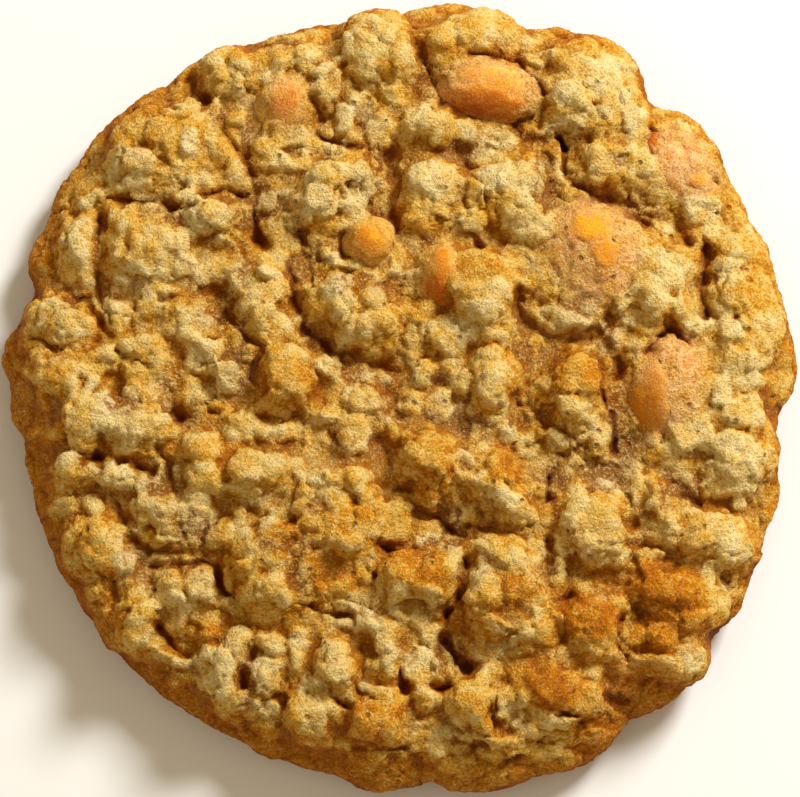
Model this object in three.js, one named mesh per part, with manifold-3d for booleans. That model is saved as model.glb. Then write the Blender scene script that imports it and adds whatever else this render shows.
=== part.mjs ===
// An oatmeal butterscotch cookie as it comes off the baking tray: one craggy disc of oat dough, with
// butterscotch chips half sunk in its top. Millimetres, +Z up, and the origin under the cookie's middle,
// on the surface that it lies on. Seen from above, +X is to the right and +Y is away from the viewer.
import * as THREE from "three";
import { ImprovedNoise } from "three/addons/math/ImprovedNoise.js";
import { mergeVertices } from "three/addons/utils/BufferGeometryUtils.js";
import Module from "manifold-3d";

const wasm = await Module();
wasm.setup();

// ---- Driving dimensions -------------------------------------------------------------------------------

const RIM_RADIUS = 37.8; // the round that the lobes of the rim stand out from
const FLOOR_HEIGHT = 9.3; // of the moist dough between the clumps, at the middle
const MESH_STEP = 1.42; // between neighbouring points of the dough's skin
const CHIP_GAP = 0.3; // between a chip and the dough that it sits in

// The section from the middle of the top, over the rim and down to the tray: share of the rim's radius,
// and share of the floor's height.
const SECTION = [
  [0, 1],
  [0.3, 1],
  [0.6, 0.96],
  [0.8, 0.87],
  [0.92, 0.72],
  [0.985, 0.5],
  [1, 0.3],
  [0.985, 0.12],
  [0.955, 0],
];

// Lobes where the dough spread further: direction in degrees, half width in degrees, reach in mm.
const LOBES = [
  [6, 8, 2.1],
  [20, 10, 1.0],
  [31, 6, 1.9],
  [41, 8, 3.3],
  [62, 11, 3.6],
  [81, 9, 2.6],
  [93, 8, 1.2],
  [106, 7, 1.2],
  [120, 8, 2.1],
  [137, 11, 2.7],
  [147, 7, 2.4],
  [157, 6, 1.8],
  [174, 5, 2.2],
  [180, 6, 1.2],
  [196, 7, 0.1],
  [218, 9, 0.2],
  [236, 8, 0.1],
  [255, 8, 0.5],
  [268, 7, 1.8],
  [285, 10, 3.0],
  [297, 9, 3.3],
  [313, 11, 3.0],
  [328, 9, 2.2],
  [342, 7, 1.5],
];

// The main clumps of oats that stand over the floor: x, y, half length, half width, turn in degrees, rise.
const CLUMPS = [
  [-24, 25, 5.8, 4.2, 25, 2.2],
  [-17, 32, 3.4, 2.8, 20, 1.8],
  [-11.5, 34, 3.6, 2.2, 10, 1.6],
  [-7.5, 30.5, 3, 1.8, 70, 1.7],
  [-1.5, 34.5, 4, 4, 0, 2.4],
  [7, 36, 5.6, 2.4, 5, 2.2],
  [20, 30.5, 6.2, 5.8, -40, 2.2],
  [2.5, 26.5, 2.8, 1.8, 5, 1.6],
  [-7, 19.5, 3.6, 3, 90, 2.2],
  [-3, 21.5, 3.2, 2, 110, 1.8],
  [3, 20.5, 3.4, 2.8, 90, 1.7],
  [11.5, 19, 4.4, 3.4, 90, 1.9],
  [22, 22.5, 5.2, 2.2, -15, 1.7],
  [-19, 17, 3, 2, -35, 2.2],
  [-25, 14.5, 5.2, 4.2, -30, 1.9],
  [-32, 15, 3.4, 2, 90, 1.5],
  [-34, 7, 4, 2, -15, 1.8],
  [-14, 10, 4.8, 3, 105, 1.8],
  [-21, 7, 3.6, 1.8, 0, 1.4],
  [-4.5, 8, 5, 3.8, -50, 2.1],
  [8, 10, 4.4, 4, 90, 2.2],
  [26, 10, 5.2, 3.2, 100, 1.9],
  [34.5, 9, 9.2, 4, 85, 2],
  [-11.5, 1, 3.6, 3.4, 90, 2.3],
  [-17, 2.5, 2.6, 2.2, 90, 1.4],
  [-33.5, 1.5, 4.4, 2.6, 0, 1.7],
  [-25.5, 3.5, 3.4, 2, -15, 1.5],
  [-31, -3.5, 2.8, 2.8, 0, 2.1],
  [-26, -3.5, 3.2, 2.8, 20, 1.9],
  [-6, -3, 4.4, 1.2, 0, 1.3],
  [9, 0.5, 3.6, 2.4, 90, 1.6],
  [17.5, -0.5, 3.8, 3, 90, 2.2],
  [33.5, -5.5, 5.2, 4.2, 90, 2],
  [-19, -8, 3.8, 2.8, 90, 1.8],
  [-14, -8.5, 4.2, 2.8, 20, 2.2],
  [-6, -12.5, 5.2, 4.8, -40, 2.4],
  [-12, -17.5, 5.4, 5.2, 90, 2.2],
  [-30.5, -8, 4.6, 2, -15, 1.6],
  [3, -7.5, 3.4, 3.2, -45, 2.5],
  [10, -10, 5, 2.4, -45, 2.2],
  [19.5, -14, 4.6, 3.8, 0, 2],
  [25.5, -11.5, 2.8, 1.2, 110, 1.9],
  [31, -15, 4.8, 3, 0, 2.1],
  [-21.5, -13, 3.4, 2.6, 0, 1.4],
  [-30, -15.5, 3.6, 3.2, 0, 1.7],
  [-21, -19.5, 3.4, 2.2, 0, 1.6],
  [2, -19, 4.4, 2.8, 10, 2.3],
  [10.5, -20.5, 6.2, 4.2, 115, 2.4],
  [28, -20.5, 4.6, 3, -20, 2.3],
  [19.5, -24, 4, 2.4, 110, 2.1],
  [-26, -23.5, 3.4, 2.2, 105, 2],
  [-16, -28.5, 4, 3.2, 90, 1.7],
  [-6.5, -28, 3.2, 2.4, 80, 2.2],
  [-1.5, -25.5, 4.4, 2.2, 105, 1.7],
  [-8.5, -32.5, 3, 2.6, 0, 2],
  [-2.5, -33, 3, 2.8, 0, 2.2],
  [7, -31.5, 3, 2.4, 90, 2.1],
  [16, -30.5, 5.6, 3.4, -10, 2],
  [27.5, -26, 3.8, 3.2, 0, 1.8],
];

// Low swells of dough round the larger chips, given as the clumps are.
const SWELLS = [
  [19, 13, 6.6, 7, 0, 1.3],
  [28, 22.6, 6.6, 5, -52, 1.2],
  [28, -0.4, 6, 7.2, 0, 1.4],
  [8.6, 31, 7.4, 4.6, -8, 1],
];

// Butterscotch chips that show: where the middle of the foot lies, half length, half width, height, the
// turn about Z and the lean to the side, both in degrees.
const CHIPS = [
  { at: [8.9, 31, 3.7], half: [6, 3.5], height: 6.6, turn: -8, lean: 12 },
  { at: [-11.4, 28.8, 3.7], half: [4, 3.8], height: 6, turn: 20, lean: 0 },
  { at: [-3, 15, 4.4], half: [3.4, 3.3], height: 6.8, turn: 0, lean: 6 },
  { at: [19.2, 13.4, 4.8], half: [5.4, 6], height: 6.6, turn: 20, lean: -4 },
  { at: [28, 22.6, 3], half: [4.7, 3.4], height: 6.2, turn: -52, lean: 4 },
  { at: [27, 0, 4.3], half: [4.4, 5.8], height: 6.9, turn: -10, lean: 3 },
  { at: [4.4, 11.2, 4.6], half: [3.1, 3.8], height: 6.6, turn: 5, lean: -8 },
];

// A baked chip's outline from the middle of its foot to its softened tip: share of the half width, and
// share of the height.
const CHIP_SECTION = [
  [0, 0],
  [0.62, 0.02],
  [0.93, 0.14],
  [1, 0.34],
  [0.86, 0.62],
  [0.56, 0.86],
  [0.25, 0.97],
  [0, 1],
];

// Small lumps that fill the floor between the clumps.
const FILLERS = { darts: 1400, spacing: 2.5, radius: [1.1, 2.0], rise: [0.6, 1.2], seed: 11 };
const WARP = { wide: 1.1, wideStep: 4.6, fine: 0.5, fineStep: 1.9 }; // how ragged a clump's edge is
const ROUGHNESS = { lumps: 0.34, lumpStep: 2.6, wall: 0.55, wallStep: 4.2 }; // of the whole skin
const CLUMP_EDGE = [0.7, 1.08]; // where a clump starts to fall, and meets the floor, in half lengths
const CLUMP_CROWN = 0.2; // how much lower a clump is at its edge than at its middle
const CLUMP_RISE = 1.25; // scales every rise

// ---- Shared helpers -----------------------------------------------------------------------------------

const { degToRad, smoothstep, lerp } = THREE.MathUtils;
const perlin = new ImprovedNoise();

function noise(x, y, z, step) {
  return perlin.noise(x / step + 31.7, y / step + 17.3, z / step + 5.9);
}

function randomFrom(seed) {
  let state = seed;
  return () => {
    state = (state * 1664525 + 1013904223) % 4294967296;
    return state / 4294967296;
  };
}

function curveThrough(pairs) {
  return new THREE.SplineCurve(pairs.map(([across, up]) => new THREE.Vector2(across, up)));
}

function geometryFrom(positions, index) {
  const geometry = new THREE.BufferGeometry();
  geometry.setAttribute("position", new THREE.Float32BufferAttribute(positions, 3));
  geometry.setIndex(index);
  return geometry;
}

function solidFrom(geometry) {
  const bare = geometry.clone();
  bare.deleteAttribute("normal");
  bare.deleteAttribute("uv");
  const merged = mergeVertices(bare, 1e-4);
  const vertProperties = new Float32Array(merged.attributes.position.array);
  return new wasm.Manifold(
    new wasm.Mesh({ numProp: 3, vertProperties, triVerts: new Uint32Array(merged.index.array) }),
  );
}

function geometryOf(solid) {
  const mesh = solid.getMesh();
  const positions = [];
  for (let i = 0; i < mesh.numVert; i++) {
    positions.push(...mesh.vertProperties.subarray(i * mesh.numProp, i * mesh.numProp + 3));
  }
  const geometry = geometryFrom(positions, Array.from(mesh.triVerts)).toNonIndexed();
  geometry.computeVertexNormals();
  return geometry;
}

// ---- Relief of the top --------------------------------------------------------------------------------

// How far a clump lifts the dough at a point: a crowned plateau that falls off round its edge.
function clumpHeight([cx, cy, halfLength, halfWidth, turn, rise], x, y) {
  const cos = Math.cos(degToRad(turn));
  const sin = Math.sin(degToRad(turn));
  const along = (cos * (x - cx) + sin * (y - cy)) / halfLength;
  const across = (cos * (y - cy) - sin * (x - cx)) / halfWidth;
  const out = Math.hypot(along, across);
  return CLUMP_RISE * rise * (1 - smoothstep(out, ...CLUMP_EDGE)) * (1 - CLUMP_CROWN * out * out);
}

function clumpsAt(clumps, x, y) {
  const { wide, wideStep, fine, fineStep } = WARP;
  const wx = x + wide * noise(x, y, 0, wideStep) + fine * noise(x, y, 20, fineStep);
  const wy = y + wide * noise(x, y, 40, wideStep) + fine * noise(x, y, 60, fineStep);
  return Math.max(0, ...clumps.map((clump) => clumpHeight(clump, wx, wy)));
}

// Lumps thrown at the floor like darts: each stays where the dough is low and no other lump is near.
function fillerLumps() {
  const random = randomFrom(FILLERS.seed);
  const lumps = [];
  for (let i = 0; i < FILLERS.darts; i++) {
    const angle = 2 * Math.PI * random();
    const out = (RIM_RADIUS - 1) * Math.sqrt(random());
    const radius = lerp(...FILLERS.radius, random());
    const rise = lerp(...FILLERS.rise, random());
    const x = out * Math.cos(angle);
    const y = out * Math.sin(angle);
    const crowded = lumps.some(([lx, ly]) => Math.hypot(lx - x, ly - y) < FILLERS.spacing);
    if (!crowded && clumpsAt(CLUMPS, x, y) < rise * 0.4) {
      lumps.push([x, y, radius, radius * 0.8, 180 * random(), rise]);
    }
  }
  return lumps;
}

// ---- Dough --------------------------------------------------------------------------------------------

function rimRadius(angle) {
  const reaches = LOBES.map(([direction, halfWidth, reach]) => {
    const off = Math.abs(THREE.MathUtils.euclideanModulo(angle - direction + 180, 360) - 180);
    return reach * Math.sqrt(Math.max(0, 1 - (off / halfWidth) ** 2));
  });
  return RIM_RADIUS + Math.max(0, ...reaches);
}

// The skin is rings of points, each with 6 more than the one inside it, which keeps the triangles even.
function doughGeometry() {
  const clumps = [...CLUMPS, ...SWELLS, ...fillerLumps()];
  const section = curveThrough(SECTION.map(([out, up]) => [out * RIM_RADIUS, up * FLOOR_HEIGHT]));
  const ringCount = Math.round(section.getLength() / MESH_STEP);
  const positions = [];
  for (let ring = 0; ring <= ringCount; ring++) {
    const { x: out, y: up } = section.getPointAt(ring / ringCount);
    const { x: slopeOut, y: slopeUp } = section.getTangentAt(ring / ringCount);
    for (let i = 0; i < Math.max(1, 6 * ring); i++) {
      const angle = (360 * i) / Math.max(1, 6 * ring);
      const cos = Math.cos(degToRad(angle));
      const sin = Math.sin(degToRad(angle));
      const reach = (out * rimRadius(angle)) / RIM_RADIUS;
      const x = reach * cos;
      const y = reach * sin;
      const rough = ROUGHNESS.lumps * noise(x, y, up, ROUGHNESS.lumpStep);
      const wall = ROUGHNESS.wall * noise(x, y, up, ROUGHNESS.wallStep) * (1 - slopeOut);
      const footFade = smoothstep(up, 0, 1.6);
      const lift = (clumpsAt(clumps, x, y) * Math.sqrt(Math.max(0, slopeOut)) + rough + wall) * footFade;
      positions.push(x - slopeUp * lift * cos, y - slopeUp * lift * sin, up + slopeOut * lift);
    }
  }
  return closedByFoot(positions, ringCount);
}

function closedByFoot(positions, ringCount) {
  const firstOf = (ring) => (ring === 0 ? 0 : 1 + 3 * ring * (ring - 1));
  const index = [];
  for (let ring = 1; ring <= ringCount; ring++) {
    for (let side = 0; side < 6; side++) {
      for (let step = 0; step < ring; step++) {
        const outer = (k) => firstOf(ring) + ((side * ring + k) % (6 * ring));
        const inner = (k) =>
          firstOf(ring - 1) + ((side * (ring - 1) + k) % Math.max(1, 6 * (ring - 1)));
        index.push(outer(step), outer(step + 1), inner(step));
        if (step < ring - 1) {
          index.push(inner(step), outer(step + 1), inner(step + 1));
        }
      }
    }
  }
  const underMiddle = positions.length / 3;
  positions.push(0, 0, 0);
  for (let i = 0; i < 6 * ringCount; i++) {
    const next = (i + 1) % (6 * ringCount);
    index.push(firstOf(ringCount) + next, firstOf(ringCount) + i, underMiddle);
  }
  return geometryFrom(positions, index);
}

// ---- Butterscotch chips -------------------------------------------------------------------------------

function chipGeometry({ at, half, height, turn, lean }, gap) {
  const section = curveThrough(CHIP_SECTION).getSpacedPoints(9);
  section[0].x = 0;
  section.at(-1).x = 0;
  const geometry = new THREE.LatheGeometry(section, 16);
  geometry.rotateX(Math.PI / 2);
  geometry.scale(half[0] + gap, half[1] + gap, height + 2 * gap);
  geometry.translate(0, 0, -gap);
  geometry.rotateX(degToRad(lean));
  geometry.rotateZ(degToRad(turn));
  geometry.translate(...at);
  return geometry;
}

// ---- Assembly -----------------------------------------------------------------------------------------

const doughFinish = new THREE.MeshStandardMaterial({ color: 0xc98f45, roughness: 0.8, metalness: 0 });
const chipFinish = new THREE.MeshStandardMaterial({ color: 0xe0812a, roughness: 0.5, metalness: 0 });

function meshOf(solid, name, finish) {
  const mesh = new THREE.Mesh(geometryOf(solid), finish);
  mesh.name = name;
  return mesh;
}

const chipSolids = CHIPS.map((chip) => solidFrom(chipGeometry(chip, 0)));
const pockets = CHIPS.map((chip) => solidFrom(chipGeometry(chip, CHIP_GAP)));
const pocketed = pockets.reduce((dough, pocket) => dough.subtract(pocket), solidFrom(doughGeometry()));
const dough = pocketed.decompose().reduce((a, b) => (a.volume() > b.volume() ? a : b));

const cookie = new THREE.Group();
cookie.add(meshOf(dough, "dough", doughFinish));
chipSolids.forEach((solid, i) => cookie.add(meshOf(solid, `chip_${i + 1}`, chipFinish)));

// The origin goes under the middle of the cookie's own box.
const middle = new THREE.Box3().setFromObject(cookie).getCenter(new THREE.Vector3());
cookie.position.set(-middle.x, -middle.y, 0);

export default cookie;
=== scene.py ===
"""An oatmeal butterscotch cookie on a pale floor, seen from nearly straight above.

The dough is one skin over the cookie's clumps and chips. It breaks up into lumps, then into crumbs,
then into nubs, each layer finer than the last, and dark gaps run between the clumps. The butterscotch
chips show where the skin is open. Lengths are in metres; MM turns millimetres into them.
"""
import math

import bmesh
import bpy
import numpy as np
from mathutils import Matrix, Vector, noise


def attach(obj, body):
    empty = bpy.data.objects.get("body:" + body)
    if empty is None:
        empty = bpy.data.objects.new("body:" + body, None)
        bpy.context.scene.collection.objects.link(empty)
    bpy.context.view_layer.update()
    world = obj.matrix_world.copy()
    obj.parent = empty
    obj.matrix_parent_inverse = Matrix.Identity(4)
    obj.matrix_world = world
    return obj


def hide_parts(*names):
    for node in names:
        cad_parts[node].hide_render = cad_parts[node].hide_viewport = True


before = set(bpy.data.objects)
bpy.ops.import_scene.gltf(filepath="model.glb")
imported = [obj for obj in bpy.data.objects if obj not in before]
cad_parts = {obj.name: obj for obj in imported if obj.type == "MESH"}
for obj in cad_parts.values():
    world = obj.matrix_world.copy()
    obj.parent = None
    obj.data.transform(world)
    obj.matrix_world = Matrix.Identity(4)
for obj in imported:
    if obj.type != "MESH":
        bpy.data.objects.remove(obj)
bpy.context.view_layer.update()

MM = 0.001
noise.seed_set(11)
DOUGH_TRIANGLES = 196_000
CORE_STEP = 0.4 * MM  # between neighbouring points when the dough and its chips first become one skin
SKIN_STEP = 0.25 * MM  # between neighbouring points of the dough's skin
SOFTENING = (0.5, 8)  # how strongly, and in how many rounds, the first skin is evened out
FILM = 0.45 * MM  # of dough over a chip
FILM_REACH = 0.55 * MM  # from a chip up to which the skin counts as its film
FILM_CALM = 0.85  # of a lump's lift that is taken away where dough films a chip
BARE_DEPTH = 0.15 * MM  # that the skin is pressed in where a chip is bare
CHIP_SWELL = 0.62 * MM  # of a chip where it is bare
CHIP_DENT = 0.12 * MM  # the waviness of a chip
CHIP_GRAIN = 0.06 * MM  # the finer waviness of a chip
LUMP_HEIGHT = 0.88 * MM  # of a lump whose lift is 1
LUMP_LEVEL = 0.55  # the lift that leaves the crust where it is
LUMP_LEAN = 0.12  # most of a lump's lift that it may lean by
SWELL_SHARE = 0.6  # of the rises listed for the broad swells
RISE_PAINTED_LIGHT = 1.0  # of paleness, painted light, for each mm that the crust rises
GAP_SHARE = 0.85  # of the depths listed for the dark gaps
HOLLOW_DEPTH = 0.55  # mm below the crust around it at which a hollow is fully shaded
TOP_RANGE = (3 * MM, 6 * MM)  # heights between which the wall goes over into the top
FOOT_HEIGHT = 0.2 * MM  # below which the dough lay on the tray
SHADE_SIDE = np.array([-0.75, -0.66])  # the way, in plan, that the wall's side with painted shade faces, away from the key light

SKY_CELL = 0.3 * MM  # of the grid of heights that tells how much of the sky a point sees
SKY_REACHES = [reach * MM for reach in (0.6, 0.9, 1.3, 1.9, 2.7, 3.8, 5.0)]
SKY_WAYS = 12  # the directions in which a point looks for higher ground
UNDERSIDE_SKY = 0.7  # the share given to the face that lay on the tray

# How outlines waver in plan: the size of each wave and its reach, both in mm.
GAP_WAVES = [(0.8, 0.25), (2.5, 0.7)]
SPOT_WAVES = [(1.3, 0.6), (0.5, 0.25)]
SWELL_WAVES = [(3, 0.8), (1, 0.4)]
LUMP_WAVES = [(3, 0.5), (1.2, 0.36), (0.6, 0.2)]

# ---- The photograph's view ---------------------------------------------------------------------------

PHOTO_WIDTH, PHOTO_HEIGHT = 800, 797  # pixels
VIEW_TILT = math.radians(9)  # of the line of sight from the vertical, towards the viewer
VIEW_DISTANCE = 550 * MM
VIEW_AIM = Vector((-0.1 * MM, -0.95 * MM, 6 * MM))
VIEW_WIDTH = 79.5 * MM  # of what fits across the picture at the aim
SENSOR_WIDTH = 36
TOP_HEIGHT = 10.5 * MM  # of most of what the photograph shows
PIXEL = VIEW_WIDTH / PHOTO_WIDTH

VIEW_BACK = Vector((0, -math.sin(VIEW_TILT), math.cos(VIEW_TILT)))
VIEW_UP = Vector((0, math.cos(VIEW_TILT), math.sin(VIEW_TILT)))
VIEW_RIGHT = Vector((1, 0, 0))
EYE = VIEW_AIM + VIEW_BACK * VIEW_DISTANCE


def at_pixel(across, down, height=TOP_HEIGHT):
    """The point at a height that the photograph shows at a pixel."""
    seen = VIEW_AIM + VIEW_RIGHT * (across - PHOTO_WIDTH / 2) * PIXEL
    seen -= VIEW_UP * (down - PHOTO_HEIGHT / 2) * PIXEL
    ray = seen - EYE
    return EYE + ray * ((height - EYE.z) / ray.z)


# ---- Where things lie, in the photograph's pixels ----------------------------------------------------

# Browned zones: across, down, radius, strength.
TOASTED = [
    (330, 535, 75, 0.4), (255, 470, 45, 0.25), (290, 470, 40, 0.25), (440, 465, 60, 0.4),
    (505, 460, 30, 0.6), (425, 575, 45, 0.35), (480, 625, 45, 0.6), (520, 590, 35, 0.7),
    (560, 675, 70, 0.6), (590, 615, 45, 1.0), (665, 590, 55, 0.7), (685, 625, 45, 0.8), (640, 680, 60, 0.8),
    (600, 730, 50, 0.9), (290, 385, 38, 0.5), (575, 385, 34, 0.5), (470, 275, 45, 0.3), (385, 335, 30, 0.2),
    (205, 350, 45, 0.2), (205, 625, 40, 0.5), (375, 715, 38, 0.6), (690, 540, 45, 0.3), (140, 130, 60, 0.4),
    (565, 45, 45, 0.4),
]

# Moist zones, where the dough stayed pale and greyish: across, down, radius, strength.
MOIST = [
    (300, 245, 55, 1.0), (245, 200, 35, 0.8), (385, 65, 35, 0.6), (430, 180, 60, 0.5), (545, 180, 45, 0.9),
    (455, 150, 40, 0.8), (440, 405, 60, 0.8), (530, 335, 45, 1.0), (600, 460, 75, 1.0), (360, 450, 45, 0.8),
    (155, 575, 50, 0.6), (200, 545, 50, 0.5), (235, 370, 40, 0.9), (175, 410, 40, 0.6), (165, 210, 40, 0.7),
    (455, 650, 35, 0.8), (440, 515, 40, 0.7), (150, 480, 40, 0.7), (690, 490, 35, 0.7), (450, 740, 40, 0.5),
]

# Dark gaps between the clumps: half width, depth in mm, and the points that each runs through.
GAPS = [
    (9, 1.5, [(96, 198), (122, 192), (150, 200), (192, 204)]),
    (6, 1.0, [(200, 190), (222, 190), (244, 188)]), (12, 2.2, [(194, 68), (198, 84), (206, 93)]),
    (7, 1.1, [(224, 118), (236, 142), (250, 168), (252, 196)]),
    (11, 1.8, [(250, 200), (256, 222), (264, 240)]), (6, 1.6, [(654, 122), (655, 146)]),
    (18, 0.6, [(566, 452), (604, 462), (648, 470)]), (14, 0.5, [(376, 440), (384, 480)]),
    (14, 0.6, [(300, 268), (312, 240)]), (14, 0.7, [(422, 500), (442, 514)]),
    (11, 0.5, [(530, 330), (524, 360), (530, 400)]), (12, 1.1, [(384, 216), (400, 228)]),
    (4, 0.3, [(310, 174), (322, 166), (333, 176), (335, 194), (329, 210), (316, 216)]),
    (7, 1.4, [(344, 236), (350, 252), (368, 263), (388, 252), (394, 236)]),
    (10, 1.7, [(288, 262), (292, 290), (302, 318), (330, 344), (368, 362), (402, 366)]),
    (8, 1.2, [(226, 306), (242, 328), (262, 346), (250, 374)]),
    (8, 1.1, [(312, 98), (322, 112), (318, 126), (342, 142), (366, 146)]),
    (10, 1.2, [(388, 150), (394, 190), (396, 228), (384, 246)]),
    (7, 1.0, [(98, 200), (98, 245), (96, 290), (108, 318)]), (7, 1.0, [(60, 290), (84, 292), (100, 322)]),
    (6, 0.8, [(28, 332), (58, 346), (94, 336)]), (6, 0.8, [(158, 296), (180, 292), (204, 290), (236, 288)]),
    (6, 1.3, [(114, 346), (124, 352), (148, 362)]), (7, 1.3, [(284, 146), (298, 150)]),
    (6, 1.0, [(196, 330), (212, 334)]), (8, 1.0, [(300, 234), (316, 254), (332, 260)]),
    (8, 1.4, [(418, 42), (426, 62), (432, 78), (448, 96)]),
    (8, 1.5, [(448, 98), (474, 108), (504, 113), (532, 118)]),
    (6, 1.3, [(474, 50), (500, 50), (522, 54), (540, 74), (548, 92)]), (8, 3.0, [(556, 129), (565, 140)]),
    (6, 1.5, [(583, 138), (588, 139)]),
    (8, 1.4, [(566, 148), (572, 172), (592, 192), (622, 200), (646, 218)]),
    (7, 1.3, [(654, 210), (676, 214), (690, 236)]),
    (9, 1.6, [(704, 242), (712, 256), (702, 282), (708, 312)]),
    (9, 0.8, [(546, 160), (552, 190), (545, 208)]), (6, 1.2, [(476, 238), (481, 240)]),
    (8, 0.8, [(456, 146), (474, 166)]),
    (9, 1.5, [(518, 290), (524, 320), (552, 336), (590, 334), (606, 318)]),
    (8, 1.8, [(650, 352), (662, 334)]), (9, 1.8, [(670, 326), (690, 336)]),
    (9, 1.6, [(622, 352), (616, 372)]), (6, 1.3, [(606, 390), (608, 402)]),
    (6, 1.3, [(668, 291), (674, 293)]), (6, 1.2, [(740, 318), (745, 328)]),
    (5, 0.9, [(713, 170), (722, 176)]), (4, 0.8, [(747, 275), (749, 280)]),
    (12, 1.0, [(430, 376), (448, 384)]), (8, 1.5, [(404, 26), (416, 22)]), (6, 1.2, [(376, 38), (384, 42)]),
    (5, 0.8, [(372, 112), (378, 106)]), (9, 2.0, [(86, 457), (100, 452)]),
    (6, 1.5, [(118, 460), (128, 458)]), (8, 1.6, [(140, 446), (146, 448)]),
    (8, 1.6, [(138, 462), (150, 468)]), (7, 1.5, [(172, 410), (180, 413)]),
    (6, 1.1, [(212, 408), (220, 408)]), (6, 1.3, [(250, 412), (274, 420), (300, 416)]),
    (10, 1.0, [(156, 446), (168, 470), (180, 492)]),
    (8, 1.2, [(119, 500), (128, 530), (150, 548), (186, 552)]),
    (6, 1.5, [(150, 564), (186, 564), (212, 560), (226, 590), (242, 608)]),
    (10, 1.0, [(108, 576), (112, 586)]), (8, 1.8, [(160, 626), (174, 640), (190, 648)]),
    (10, 3.0, [(242, 670), (244, 682)]), (5, 1.4, [(288, 646), (286, 690), (284, 706)]),
    (7, 1.2, [(250, 640), (254, 654)]), (7, 1.3, [(330, 688), (346, 706)]),
    (6, 1.4, [(362, 648), (366, 656)]), (7, 2.0, [(398, 668), (402, 692)]),
    (6, 1.0, [(239, 713), (241, 720)]), (4, 1.0, [(132, 598), (118, 626)]),
    (5, 1.1, [(376, 544), (402, 548)]), (6, 1.2, [(300, 604), (322, 606), (346, 612)]),
    (5, 1.2, [(182, 528), (186, 546)]), (6, 1.0, [(356, 744), (404, 746)]),
    (5, 1.2, [(370, 566), (374, 570)]), (5, 1.0, [(286, 524), (294, 520)]),
    (9, 1.7, [(402, 486), (410, 488)]), (9, 1.3, [(408, 500), (440, 520), (462, 532)]),
    (5, 1.3, [(470, 524), (500, 526), (522, 536)]), (9, 1.2, [(466, 466), (474, 474)]),
    (9, 2.0, [(466, 560), (462, 592), (448, 616)]), (13, 2.4, [(446, 640), (460, 656), (466, 664)]),
    (6, 1.5, [(436, 684), (448, 684)]), (7, 1.8, [(552, 474), (548, 500)]),
    (6, 1.4, [(549, 536), (549, 560)]), (6, 1.3, [(556, 602), (570, 590)]),
    (6, 1.8, [(618, 618), (622, 646), (632, 652)]), (8, 1.3, [(632, 524), (644, 534)]),
    (10, 1.4, [(680, 488), (704, 500)]), (10, 1.6, [(612, 694), (628, 698)]),
    (7, 1.2, [(492, 704), (494, 722)]), (8, 1.0, [(450, 736), (482, 742)]),
    (6, 1.0, [(558, 714), (582, 716)]), (6, 0.9, [(726, 572), (734, 574)]),
    (6, 1.0, [(640, 606), (652, 612)]), (5, 1.3, [(662, 402), (664, 442)]),
    (6, 1.0, [(612, 408), (614, 452)]), (7, 1.2, [(590, 444), (552, 424)]),
]

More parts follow.
